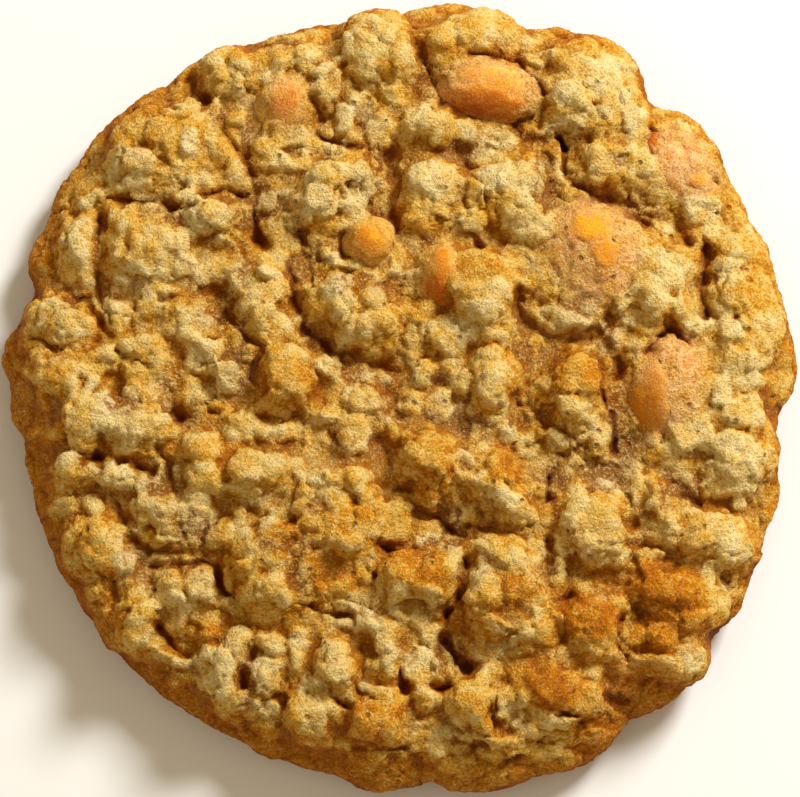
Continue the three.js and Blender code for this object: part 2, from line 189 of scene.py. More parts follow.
# Broad rises and hollows of the crust: across, down, half length, half width, turn (degrees, clockwise),
# rise (mm).
SWELLS = [
    (256, 204, 34, 26, 0, -0.9), (214, 300, 36, 22, 35, -0.8), (238, 352, 15, 42, 0, -0.8),
    (246, 262, 12, 28, 0, -0.7), (248, 158, 12, 22, 0, -0.6), (357, 283, 30, 13, 0, -0.9),
    (388, 290, 18, 14, 30, -0.5), (306, 330, 26, 12, 50, -0.7), (360, 374, 32, 14, 25, -0.8),
    (392, 396, 18, 34, 0, -0.7), (463, 424, 32, 15, 15, -0.6), (527, 420, 22, 14, -20, -0.6),
    (550, 350, 18, 12, 30, -0.5), (608, 335, 14, 26, 0, -0.7), (618, 404, 14, 26, 0, -0.7),
    (632, 446, 24, 18, 0, -0.8), (556, 474, 32, 15, 0, -0.6), (606, 472, 26, 14, 0, -0.5),
    (678, 486, 22, 22, 30, -0.9), (158, 480, 30, 20, 20, -0.7), (196, 526, 32, 18, 30, -0.8),
    (272, 540, 28, 17, 40, -0.6), (302, 568, 17, 34, 0, -0.8), (320, 510, 16, 11, 0, -0.5),
    (182, 410, 24, 16, 40, -0.5), (122, 402, 28, 14, -10, -0.7), (172, 376, 14, 16, 0, -0.6),
    (66, 293, 24, 13, 40, -0.6), (108, 290, 14, 11, 0, -0.6), (58, 353, 22, 9, 10, -0.4),
    (92, 462, 22, 14, 30, -0.5), (278, 445, 20, 13, 20, -0.5), (248, 672, 14, 24, 0, -0.8),
    (180, 665, 10, 12, 0, -0.5), (194, 570, 24, 16, 20, -0.6), (132, 560, 12, 22, -10, -0.4),
    (448, 660, 19, 16, 0, -0.9), (244, 702, 9, 16, 0, -0.5), (402, 650, 12, 16, 0, -0.4),
    (380, 612, 26, 10, 15, -0.4), (328, 652, 12, 16, 0, -0.3), (448, 540, 30, 14, -20, -0.8),
    (446, 505, 10, 20, -20, -0.5), (488, 570, 12, 16, -30, -0.4), (548, 558, 12, 24, -10, -0.5),
    (515, 612, 22, 10, 15, -0.4), (640, 541, 14, 12, 0, -0.5), (606, 586, 26, 10, 20, -0.4),
    (626, 640, 10, 18, 0, -0.5), (621, 704, 24, 22, 0, -0.8), (550, 678, 16, 14, 0, -0.4),
    (545, 176, 16, 30, 0, -0.7), (588, 192, 24, 16, 20, -0.6), (640, 206, 24, 20, 20, -0.6),
    (618, 160, 14, 12, 0, -0.4), (520, 132, 24, 10, 5, -0.4), (556, 134, 24, 12, 0, -0.6),
    (480, 131, 12, 10, 0, -0.3), (376, 160, 17, 28, -20, -0.9), (368, 122, 18, 14, 0, -0.4),
    (382, 221, 15, 24, -40, -0.9), (432, 82, 15, 32, -20, -0.8), (434, 248, 13, 18, 0, -0.9),
    (220, 108, 14, 12, 0, -0.5), (247, 125, 10, 24, 0, -0.5), (145, 108, 18, 10, -30, -0.4),
    (248, 67, 12, 10, 0, -0.3), (284, 36, 28, 9, -10, -0.6), (508, 42, 22, 11, 20, -0.5),
    (366, 22, 14, 10, 0, -0.4), (338, 80, 9, 28, -25, -0.5), (536, 22, 18, 9, 0, -0.4),
    (725, 142, 10, 20, -20, -0.3), (573, 307, 24, 12, 10, -0.6), (455, 146, 22, 14, 0, -0.6),
    (96, 248, 9, 16, 0, -0.4), (485, 730, 28, 8, -8, -0.5), (320, 724, 14, 10, 0, -0.4),
    (415, 735, 10, 20, -10, -0.3), (48, 320, 20, 12, 30, -0.3), (165, 214, 26, 12, 15, -0.5),
    (212, 226, 26, 18, 20, 0.2), (148, 282, 36, 17, 20, 0.25), (303, 211, 13, 14, 0, 0.3),
    (350, 182, 13, 13, 0, 0.2), (420, 130, 28, 17, 0, 0.2), (520, 222, 28, 26, 0, 0.3),
    (470, 192, 18, 12, 0, 0.2), (456, 236, 16, 20, 0, 0.2), (478, 322, 26, 24, 0, 0.3),
    (462, 290, 13, 20, 0, 0.2), (486, 384, 28, 24, 0, 0.3), (385, 332, 18, 15, 0, 0.2),
    (335, 315, 14, 18, 0, 0.2), (205, 352, 13, 26, -25, 0.2), (125, 440, 30, 15, 5, 0.25),
    (248, 485, 42, 15, 0, 0.2), (483, 492, 48, 18, 40, 0.25), (345, 554, 28, 15, 15, 0.5),
    (420, 596, 20, 22, 0, 0.3), (475, 606, 14, 30, 0, 0.2), (520, 641, 32, 10, 15, 0.2),
    (575, 650, 20, 20, 0, 0.25), (600, 553, 24, 14, 10, 0.2), (705, 548, 54, 24, 20, 0.3),
    (738, 465, 40, 28, 0, 0.3), (645, 298, 28, 28, 0, 0.2), (560, 408, 11, 16, 0, 0.2),
    (590, 382, 14, 24, -10, 0.2), (756, 376, 24, 26, 0, 0.2), (720, 345, 16, 15, 0, 0.2),
    (700, 200, 50, 22, 40, 0.2), (600, 70, 50, 26, 25, 0.15), (556, 95, 24, 14, 10, 0.2),
    (620, 125, 20, 14, 0, 0.2), (342, 40, 14, 18, 0, 0.2), (175, 605, 20, 14, 0, 0.25),
    (208, 660, 14, 26, 0, 0.2), (280, 612, 16, 24, 20, 0.3), (310, 685, 30, 12, 15, 0.2),
    (515, 705, 18, 14, 0, 0.2), (705, 625, 18, 18, 0, 0.2), (665, 665, 40, 12, 15, 0.2),
    (650, 508, 12, 22, 0, 0.2),
]

# Lumps of the crust: across, down, half length, half width, turn (degrees, clockwise), lift (in
# LUMP_HEIGHT), and tone, from -1 (palest) over 0 (tan) to 1 (toasted).
LUMPS = [
    (222, 68, 30, 27, 0, 0.7, -0.1), (268, 60, 19, 21, 0, 0.6, -0.2), (184, 97, 15, 10, 15, 0.7, 0.1),
    (142, 106, 22, 9, -35, 0.2, 0.3), (118, 131, 13, 13, 0, 0.4, -0.2), (160, 135, 17, 22, 0, 0.6, 0.2),
    (190, 143, 10, 14, 0, 0.8, -1), (190, 116, 17, 14, 20, 0.5, 0.1), (214, 150, 18, 16, 30, 0.6, 0.1),
    (233, 166, 13, 12, 0, 0.5, -0.4), (128, 166, 27, 25, 0, 0.7, -0.4), (183, 180, 15, 21, -20, 0.6, 0),
    (160, 184, 11, 12, 0, 0.5, 0), (216, 177, 12, 10, 0, 0.4, 0), (88, 193, 15, 9, -30, 0.7, -0.7),
    (70, 176, 14, 8, -20, 0.4, 0), (210, 219, 33, 20, 28, 1, -0.4), (120, 215, 18, 14, 0, 0.6, -0.1),
    (84, 236, 19, 24, -30, 0.6, -0.3), (150, 242, 23, 22, 20, 0.6, 0.1), (187, 246, 14, 19, 0, 0.6, -0.1),
    (124, 267, 24, 15, 10, 0.6, -0.1), (91, 263, 11, 20, 0, 0.5, -0.3), (207, 261, 9, 14, 0, 0.3, 0),
    (266, 150, 17, 20, 0, 0.7, -0.2), (233, 125, 11, 17, -20, 0.4, 0), (206, 115, 11, 9, 30, 0.4, -0.4),
    (268, 196, 11, 14, 20, 0.5, -0.4), (272, 262, 17, 17, 0, 0.7, -0.4), (312, 46, 17, 12, 0, 0.5, -0.1),
    (341, 42, 13, 16, 0, 0.7, -0.3), (380, 26, 29, 20, 0, 0.7, -0.1), (360, 56, 13, 20, 0, 0.5, -0.1),
    (405, 64, 13, 25, -10, 0.6, -0.2), (431, 30, 17, 20, 0, 0.6, 0), (478, 29, 25, 17, 0, 0.7, -0.1),
    (509, 32, 12, 13, 0, 0.5, -0.1), (324, 78, 18, 22, -15, 0.8, -0.3), (343, 115, 10, 18, -10, 0.7, -0.2),
    (363, 105, 12, 16, 10, 0.5, -0.3), (380, 128, 13, 21, 0, 0.7, -0.1), (418, 122, 17, 17, 0, 1, -0.3),
    (441, 128, 14, 17, 0, 1, 0), (400, 95, 25, 9, 25, 0.4, -0.2), (463, 128, 16, 11, 10, 0.5, -0.3),
    (501, 133, 20, 11, 15, 0.5, -0.3), (335, 146, 12, 9, 0, 0.6, -0.4), (330, 190, 27, 32, 10, 0.8, -0.3),
    (358, 182, 18, 24, 20, 0.7, -0.4), (345, 216, 24, 13, -15, 0.7, -0.2),
    (436, 180, 31, 21, 28, 0.6, -0.3), (475, 193, 9, 12, 0, 1, 0.35), (502, 176, 25, 16, -18, 0.6, -0.4),
    (521, 214, 20, 28, 0, 0.7, -0.1), (470, 215, 17, 15, 0, 0.4, -0.3), (424, 215, 24, 14, -10, 0.5, 0.1),
    (515, 256, 18, 15, 0, 0.5, -0.2), (342, 261, 19, 8, 18, 0.7, -0.4), (395, 256, 9, 17, 15, 0.6, 0),
    (412, 282, 10, 15, 0, 0.7, -0.2), (472, 266, 25, 20, 0, 0.8, 0.25), (291, 131, 20, 13, 0, 0.5, -0.2),
    (300, 158, 14, 14, 0, 0.5, -0.1), (300, 209, 14, 16, 0, 0.8, -0.2), (276, 156, 15, 13, 0, 0.6, -0.2),
    (541, 30, 20, 11, -10, 0.5, 0.2), (540, 50, 15, 9, 0, 0.7, -0.3), (572, 40, 18, 9, 10, 0.4, 0.5),
    (585, 70, 26, 17, 0, 0.6, -0.2), (616, 66, 21, 18, 20, 0.6, -0.3), (566, 95, 17, 14, 0, 0.9, -0.4),
    (556, 116, 15, 12, 0, 0.8, -0.3), (591, 116, 26, 15, 10, 0.7, 0), (611, 99, 9, 12, 0, 0.5, 0.3),
    (635, 112, 14, 32, 0, 0.8, -0.4), (620, 141, 14, 13, 0, 0.6, 0.1), (592, 164, 19, 22, 0, 0.6, -0.3),
    (626, 181, 23, 17, 10, 0.4, 0), (656, 166, 16, 14, 0, 0.5, 0), (690, 118, 14, 9, 30, 0.5, -0.1),
    (719, 147, 13, 17, -10, 0.5, 0.1), (704, 206, 20, 16, 0, 0.6, -0.3), (668, 218, 13, 10, 20, 0.5, -0.5),
    (730, 236, 27, 14, 40, 0.6, -0.3), (676, 264, 20, 17, 0, 0.7, -0.3), (541, 226, 13, 16, 0, 0.5, -0.2),
    (536, 176, 13, 22, 0, 0.5, -0.5), (564, 166, 9, 14, -20, 0.3, -0.5), (727, 268, 15, 13, 0, 0.6, -0.2),
    (755, 236, 11, 22, -25, 0.4, -0.2), (60, 317, 34, 20, 25, 0.8, 0), (56, 380, 25, 26, -10, 0.7, -0.1),
    (91, 361, 16, 13, 0, 0.5, 0.1), (88, 386, 7, 16, 35, 0.6, -0.5), (104, 411, 12, 21, -10, 0.9, -0.7),
    (80, 421, 19, 27, -10, 0.8, 0.1), (132, 428, 28, 26, -20, 0.8, -0.3), (165, 411, 8, 14, 0, 0.5, -0.6),
    (121, 476, 22, 17, 10, 0.8, -0.2), (74, 467, 22, 16, 30, 0.6, -0.1), (91, 500, 9, 12, 0, 0.5, -0.3),
    (145, 506, 17, 16, 40, 0.8, 0), (150, 380, 29, 18, 10, 0.6, 0), (141, 345, 22, 13, 0, 0.6, -0.1),
    (165, 362, 13, 9, 0, 0.5, 0.1), (110, 355, 9, 14, -10, 0.5, -0.1), (114, 313, 15, 17, 0, 0.7, -0.2),
    (151, 290, 20, 24, -10, 0.75, -0.2), (188, 321, 23, 19, 10, 0.6, 0), (205, 354, 20, 22, 10, 0.9, -0.2),
    (226, 374, 17, 15, 20, 0.5, -0.3), (186, 386, 12, 18, 0, 0.5, 0), (201, 444, 22, 19, 0, 0.7, 0),
    (201, 482, 20, 21, 0, 0.7, -0.1), (241, 424, 21, 16, 12, 0.5, 0), (247, 469, 20, 22, 0, 0.9, 0.15),
    (240, 494, 28, 13, 0, 0.85, -0.2), (240, 508, 10, 8, 0, 0.7, 0.3), (185, 514, 21, 14, 0, 0.4, 0),
    (268, 322, 20, 20, 20, 0.7, -0.3), (337, 286, 16, 13, 0, 0.5, -0.4), (343, 309, 16, 20, 0, 0.7, -0.1),
    (346, 336, 13, 14, 0, 0.5, -0.5), (380, 333, 22, 23, -10, 0.9, -0.3), (382, 292, 18, 18, 0, 0.4, -0.1),
    (330, 364, 11, 17, -35, 0.6, -0.4), (365, 398, 22, 13, 12, 0.7, -0.2),
    (342, 431, 30, 18, 20, 0.75, -0.2), (286, 430, 27, 10, 5, 0.5, -0.1), (377, 375, 14, 9, 0, 0.4, -0.6),
    (288, 372, 25, 32, -10, 1, 0.3), (428, 448, 30, 26, 25, 0.9, 0.35), (461, 460, 14, 9, 55, 0.8, -0.7),
    (503, 464, 17, 19, 0, 1, 0.3), (488, 496, 38, 18, 40, 1, -0.2), (506, 512, 22, 18, 0, 0.8, -0.2),
    (527, 519, 13, 17, 0, 0.6, -0.3), (468, 495, 15, 20, -30, 0.8, 0), (424, 370, 11, 15, 0, 0.6, -0.3),
    (411, 401, 16, 12, 0, 0.6, 0.1), (459, 374, 16, 19, 0, 0.5, -0.2), (440, 405, 11, 14, 0, 0.5, -0.2),
    (482, 320, 34, 24, 3, 0.9, -0.3), (486, 285, 36, 18, 0, 0.8, -0.15), (450, 334, 22, 22, 0, 0.9, -0.1),
    (415, 330, 12, 14, 0, 0.5, 0), (494, 374, 26, 28, 0, 0.9, -0.1), (488, 406, 26, 14, 0, 0.8, -0.2),
    (320, 476, 20, 12, 40, 0.6, -0.2), (364, 488, 25, 12, 60, 0.7, 0.2), (281, 470, 27, 18, 10, 0.8, 0),
    (284, 498, 26, 13, 0, 0.8, -0.15), (345, 524, 24, 20, 0, 0.7, 0.15), (385, 521, 27, 20, 0, 0.7, 0),
    (316, 522, 13, 15, 0, 0.5, 0.1), (277, 546, 24, 20, 0, 0.6, 0.4), (528, 446, 10, 9, 0, 0.5, -0.4),
    (511, 431, 9, 13, 0, 0.4, -0.2), (664, 285, 36, 24, 20, 0.8, -0.2), (642, 306, 28, 24, 0, 0.95, -0.2),
    (692, 312, 17, 22, -30, 0.7, -0.4), (630, 336, 18, 14, 0, 0.5, 0), (729, 291, 21, 24, 0, 0.7, -0.1),
    (732, 328, 16, 13, 0, 0.6, -0.3), (561, 320, 28, 12, 12, 0.5, -0.3), (578, 374, 24, 23, 0, 1, 0.35),
    (545, 381, 10, 12, 0, 0.5, -0.3), (576, 420, 28, 23, 25, 0.9, -0.2), (601, 431, 11, 16, 0, 0.6, -0.5),
    (558, 433, 10, 14, 20, 0.5, -0.4), (690, 428, 23, 25, -20, 1.1, -0.1), (678, 413, 11, 5, -5, 1, -0.8),
    (726, 391, 14, 15, 0, 0.7, -0.3), (744, 368, 24, 20, 0, 0.7, -0.3), (745, 408, 22, 18, 0, 0.7, -0.4),
    (738, 447, 30, 18, 15, 0.8, -0.35), (732, 476, 30, 20, 0, 1, -0.3), (740, 498, 12, 8, 10, 0.6, -0.3),
    (646, 497, 15, 25, -15, 0.9, 0.1), (586, 502, 30, 21, 0, 0.7, 0), (609, 489, 12, 14, 0, 0.6, -0.5),
    (700, 528, 44, 20, -3, 0.9, -0.1), (541, 502, 13, 24, 0, 0.5, -0.3), (100, 540, 23, 27, -10, 0.8, 0.2),
    (122, 560, 11, 12, 0, 0.7, -0.6), (141, 619, 16, 26, 20, 0.9, -0.1), (136, 594, 19, 11, -20, 0.7, -0.1),
    (169, 655, 21, 7, 25, 0.7, -0.2), (166, 580, 16, 12, 0, 0.6, -0.1), (200, 583, 14, 20, 0, 0.6, -0.3),
    (170, 608, 18, 22, -20, 0.8, -0.3), (205, 612, 16, 14, 0, 0.6, -0.1), (208, 629, 9, 8, 0, 0.7, 0.8),
    (236, 636, 16, 13, 0, 0.6, -0.2), (213, 668, 20, 28, 0, 0.9, -0.3), (270, 641, 16, 11, 10, 0.8, 0),
    (266, 673, 14, 20, 15, 0.8, -0.3), (265, 706, 14, 11, 0, 0.5, -0.3), (245, 560, 20, 20, 0, 0.7, 0.1),
    (266, 598, 27, 24, 0, 0.8, -0.1), (171, 531, 20, 16, 0, 0.5, 0.1), (89, 582, 11, 16, 0, 0.5, -0.1),
    (216, 531, 12, 17, 15, 0.4, -0.1), (240, 531, 13, 17, 0, 0.5, -0.5), (328, 562, 30, 34, 0, 0.9, 0.3),
    (352, 557, 24, 24, 0, 1, 0), (418, 566, 37, 22, -5, 0.9, 0.45), (456, 560, 10, 18, 0, 0.8, -0.6),
    (431, 540, 18, 8, 20, 0.6, -0.2), (416, 602, 27, 22, 10, 1, -0.25), (432, 632, 11, 15, 0, 0.9, 0),
    (420, 664, 19, 20, 10, 0.9, -0.1), (427, 696, 14, 13, 30, 0.8, -0.1), (467, 698, 23, 24, 15, 1, -0.1),
    (490, 681, 12, 18, 0, 0.8, -0.2), (511, 707, 15, 21, 0, 0.8, 0), (429, 736, 27, 18, 12, 0.8, -0.1),
    (375, 719, 26, 25, 0, 1, 0.2), (376, 690, 19, 8, 25, 0.9, -0.5), (309, 706, 25, 26, 30, 0.9, -0.1),
    (335, 662, 21, 27, -25, 1, 0.1), (380, 664, 15, 22, 0, 0.7, -0.1), (357, 616, 36, 14, 22, 0.6, -0.1),
    (297, 650, 11, 23, 0, 0.6, -0.3), (480, 590, 20, 24, 0, 0.8, -0.1), (502, 548, 28, 15, 22, 0.8, -0.1),
    (484, 624, 26, 15, 15, 0.8, 0), (520, 582, 15, 22, 0, 0.7, 0.3), (526, 641, 16, 11, 0, 0.7, -0.2),
    (509, 745, 32, 9, 0, 0.8, -0.1), (592, 530, 28, 20, 0, 0.8, -0.1), (566, 540, 13, 18, 0, 0.8, -0.2),
    (536, 561, 14, 24, 0, 0.7, -0.4), (606, 552, 22, 16, 0, 0.8, -0.15), (560, 570, 11, 14, 0, 0.6, -0.3),
    (736, 550, 20, 28, 0, 0.8, -0.25), (722, 572, 22, 16, 0, 0.8, -0.4), (664, 579, 36, 22, 8, 0.8, 0.6),
    (650, 555, 17, 8, -10, 0.8, 0.1), (591, 622, 24, 26, -20, 0.9, 0.5), (596, 590, 16, 11, 10, 0.7, -0.2),
    (631, 625, 14, 23, -35, 0.7, 0.1), (663, 627, 16, 20, 0, 0.8, 0.6), (698, 624, 20, 18, 0, 0.8, -0.1),
    (692, 654, 18, 16, 0, 0.8, -0.2), (640, 662, 38, 12, 0, 0.8, -0.2), (670, 666, 13, 9, 0, 0.8, -0.2),
    (549, 627, 16, 21, 0, 0.7, 0.1), (586, 656, 28, 20, 0, 0.8, 0), (553, 683, 26, 27, 0, 0.6, 0.7),
    (545, 746, 30, 9, 5, 0.7, -0.1), (561, 726, 16, 14, 0, 0.6, -0.1), (595, 735, 15, 14, 0, 0.7, -0.3),
]

# The spots where dough hardly films a chip over: chip, across, down, half length, half width, turn
# (degrees, clockwise), how bare, hue from 0 (golden) over 1 (red-brown) to 2 (dark), and how far the film
# takes the chip's pinkish colour. The hue is partly the chip's own colour and partly painted shade: it runs
# dark on the chips' shaded lower sides and in a slot.
BARE_SPOTS = [
    ("chip_1", 494, 82, 44, 20, 12, 0.65, 0.5, 0.6),
    ("chip_1", 508, 74, 26, 10, 20, 0.5, 0.1, 1),
    ("chip_1", 490, 97, 48, 11, 10, 1, 0.8, 0.3),
    ("chip_1", 478, 108, 44, 10, 10, 1, 1.5, 0.2),
    ("chip_2", 287, 99, 17, 22, 0, 0.7, 0.85, 0.3),
    ("chip_3", 375, 236, 10, 11, 0, 1, 0, 0),
    ("chip_3", 370, 241, 17, 18, 0, 1, 0.7, 0),
    ("chip_4", 590, 228, 21, 20, -15, 1, 0.05, 1),
    ("chip_4", 605, 256, 15, 18, 0, 0.9, 0.35, 1),
    ("chip_4", 588, 254, 40, 44, 0, 0.2, 0.6, 0.7),
    ("chip_5", 655, 131, 7, 16, -10, 1, 1.4, 0.6),
    ("chip_5", 700, 176, 12, 10, -30, 0.7, 0.1, 1),
    ("chip_5", 684, 148, 30, 42, -35, 0.15, 0.4, 1),
    ("chip_6", 653, 400, 16, 38, 0, 0.8, 0.6, 0.6),
    ("chip_6", 638, 412, 12, 36, 0, 1, 0.6, 0.1),
    ("chip_6", 672, 372, 26, 40, 0, 0.2, 0.4, 0.9),
    ("chip_7", 442, 272, 10, 26, 0, 1, 0.45, 0),
    ("chip_7", 438, 288, 14, 34, 0, 0.9, 0.95, 0),
]
CHIPS = sorted({spot[0] for spot in BARE_SPOTS})


# ---- Colours, as a paint chart gives them, 0 to 255 ----------------------------------------------------

CRUST = [  # from the palest lumps to the most toasted: place from 0 to 1, colour
    (0.0, (242, 221, 162)),
    (0.25, (233, 200, 122)),
    (0.4, (226, 180, 84)),
    (0.56, (218, 160, 46)),
    (0.73, (206, 130, 12)),
    (0.9, (172, 92, 0)),
]
TOASTED_BROWN = (200, 116, 8)
# laid in low areas: partly moist dough, partly painted shade
LOW_BROWN_AND_SHADE = (152, 92, 10)
HOLLOW_SHADE_BROWNS = (140, 72, 0), (146, 96, 30)  # painted shade laid in the broad hollows: dry, moist
# the wall's own browns at its foot, also laid as painted shade higher up its side away from the key light
WALL_BROWNS_AND_SHADE = (172, 98, 8), (206, 136, 34)
SHADED_BROWN = (138, 58, 0)
# painted shade in deep recesses and along the gaps
SUNK_SHADE_BROWN = (86, 18, 0)
DOUGH_SPECKS = (250, 230, 166), (132, 66, 0)  # light, dark
DOUGH_GLINT = (255, 198, 110)

PLAIN_FILM = (198, 138, 40), (226, 178, 86)
PINKISH_FILM = (226, 146, 80), (248, 196, 138)
CHIP_HUES_AND_SHADE = (236, 168, 14), (192, 92, 0), (84, 26, 0)  # golden, red-brown, dark; the dark end is painted shade on a chip's shaded side
CHIP_SPECKS = (252, 218, 138), (150, 64, 0)  # light, dark
CHIP_GLINT = (255, 222, 170)


# ---- Small helpers -----------------------------------------------------------------------------------


def add(tree, kind, inputs=None, **settings):
    """Adds a node to a tree. inputs maps a socket's name or number to a value or to another socket."""
    made = tree.nodes.new(kind)
    for name, value in settings.items():
        setattr(made, name, value)
    for name, value in (inputs or {}).items():
        if isinstance(value, bpy.types.NodeSocket):
            tree.links.new(value, made.inputs[name])
        else:
            made.inputs[name].default_value = value
    return made


def calculate(tree, operation, first, *others):
    """Works numbers or sockets together, one after the other; gives the last output."""
    for other in others:
        first = add(tree, "ShaderNodeMath", {0: first, 1: other}, operation=operation).outputs[0]
    return first


def vector(tree, operation, *values, **named):
    """The outputs of one vector node."""
    return add(tree, "ShaderNodeVectorMath", dict(enumerate(values)) | named, operation=operation).outputs


def ranged(tree, value, low, high, first=0.0, last=1.0):
    """Takes a value from between low and high to between first and last, with soft ends."""
    inputs = {"Value": value, 1: low, 2: high, 3: first, 4: last}
    return add(tree, "ShaderNodeMapRange", inputs, interpolation_type="SMOOTHSTEP").outputs[0]


def new_object(name, mesh):
    made = bpy.data.objects.new(name, mesh)
    bpy.context.scene.collection.objects.link(made)
    return made


def merged_copy(node, name):
    """A copy of a CAD node's mesh with its loose triangles joined."""
    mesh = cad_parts[node].data.copy()
    mesh.materials.clear()
    work = bmesh.new()
    work.from_mesh(mesh)
    bmesh.ops.remove_doubles(work, verts=work.verts, dist=0.002 * MM)
    bmesh.ops.dissolve_degenerate(work, edges=work.edges, dist=0.0005 * MM)
    work.to_mesh(mesh)
    work.free()
    mesh.name = name
    return mesh


def in_one(name, meshes):
    """Meshes put together in one; the meshes themselves are removed."""
    work = bmesh.new()
    for mesh in meshes:
        work.from_mesh(mesh)
        bpy.data.meshes.remove(mesh)
    joined = bpy.data.meshes.new(name)
    work.to_mesh(joined)
    work.free()
    return joined


def read_rows(rows, field):
    flat = np.empty(len(rows) * 3, np.float32)
    rows.foreach_get(field, flat)
    return flat.reshape(-1, 3).astype(float)


def points_of(mesh):
    return read_rows(mesh.vertices, "co")


def normals_of(mesh):
    return read_rows(mesh.vertex_normals, "vector")


def set_points(mesh, points):
    mesh.vertices.foreach_set("co", points.astype(np.float32).ravel())
    mesh.update()


def set_mark(mesh, name, values):
    mark = mesh.attributes.get(name) or mesh.attributes.new(name, "FLOAT", "POINT")
    mark.data.foreach_set("value", values.astype(np.float32))


def read_mark(mesh, name):
    values = np.empty(len(mesh.vertices), np.float32)
    mesh.attributes[name].data.foreach_get("value", values)
    return values.astype(float)


def smooth_step(value, low, high):
    share = np.clip((value - low) / (high - low), 0, 1)
    return share * share * (3 - 2 * share)


def settle(piece):
    """Applies a piece's modifiers to its mesh."""
    graph = bpy.context.evaluated_depsgraph_get()
    mesh = bpy.data.meshes.new_from_object(piece.evaluated_get(graph), depsgraph=graph)
    piece.modifiers.clear()
    old = piece.data
    piece.data = mesh
    bpy.data.meshes.remove(old)


def fuse(piece, voxel):
    """Makes one skin of all the shapes that overlap in a piece."""
    remesh = piece.modifiers.new("fuse", "REMESH")
    remesh.mode = "VOXEL"
    remesh.voxel_size = voxel
    remesh.use_smooth_shade = True
    settle(piece)


def run_tree(piece, tree, **values):
    """Puts a node tree on a piece with values for its named inputs, and applies it."""
    modifier = piece.modifiers.new(tree.name, "NODES")
    modifier.node_group = tree
    for item in tree.interface.items_tree:
        key = item.name.lower().replace(" ", "_")
        if item.in_out == "INPUT" and key in values:
            modifier[item.identifier] = values[key]
    settle(piece)


def finish_piece(piece, material, node):
    """Gives a piece its material and puts it in the place of its CAD node."""
    piece.data.materials.clear()
    piece.data.materials.append(material)
    piece.data.polygons.foreach_set("use_smooth", np.ones(len(piece.data.polygons), bool))
    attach(piece, "root")
    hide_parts(node)


# ---- Layers and marks of the dough's skin --------------------------------------------------------------


def geometry_tree(name, inputs):
    """A geometry node tree with inputs of the given kinds; gives the tree and its input sockets."""
    tree = bpy.data.node_groups.new(name, "GeometryNodeTree")
    tree.is_modifier = True
    tree.interface.new_socket("Geometry", in_out="INPUT", socket_type="NodeSocketGeometry")
    for label, kind in inputs.items():
        tree.interface.new_socket(label, in_out="INPUT", socket_type=f"NodeSocket{kind}")
    tree.interface.new_socket("Geometry", in_out="OUTPUT", socket_type="NodeSocketGeometry")
    return tree, tree.nodes.new("NodeGroupInput").outputs


def blurred(tree, field, rounds):
    """A vector field, evened out over its neighbours."""
    made = add(tree, "GeometryNodeBlurAttribute", {"Iterations": rounds}, data_type="FLOAT_VECTOR")
    tree.links.new(field, [s for s in made.inputs if s.enabled and s.type == "VECTOR"][0])
    return [s for s in made.outputs if s.enabled][0]


def stored(tree, geometry, name, value):
    """A geometry with a value kept at each of its points."""
    inputs = {"Geometry": geometry, "Name": name}
    made = add(tree, "GeometryNodeStoreNamedAttribute", inputs, data_type="FLOAT", domain="POINT")
    tree.links.new(value, [s for s in made.inputs if s.enabled and s.name == "Value"][0])
    return made.outputs[0]


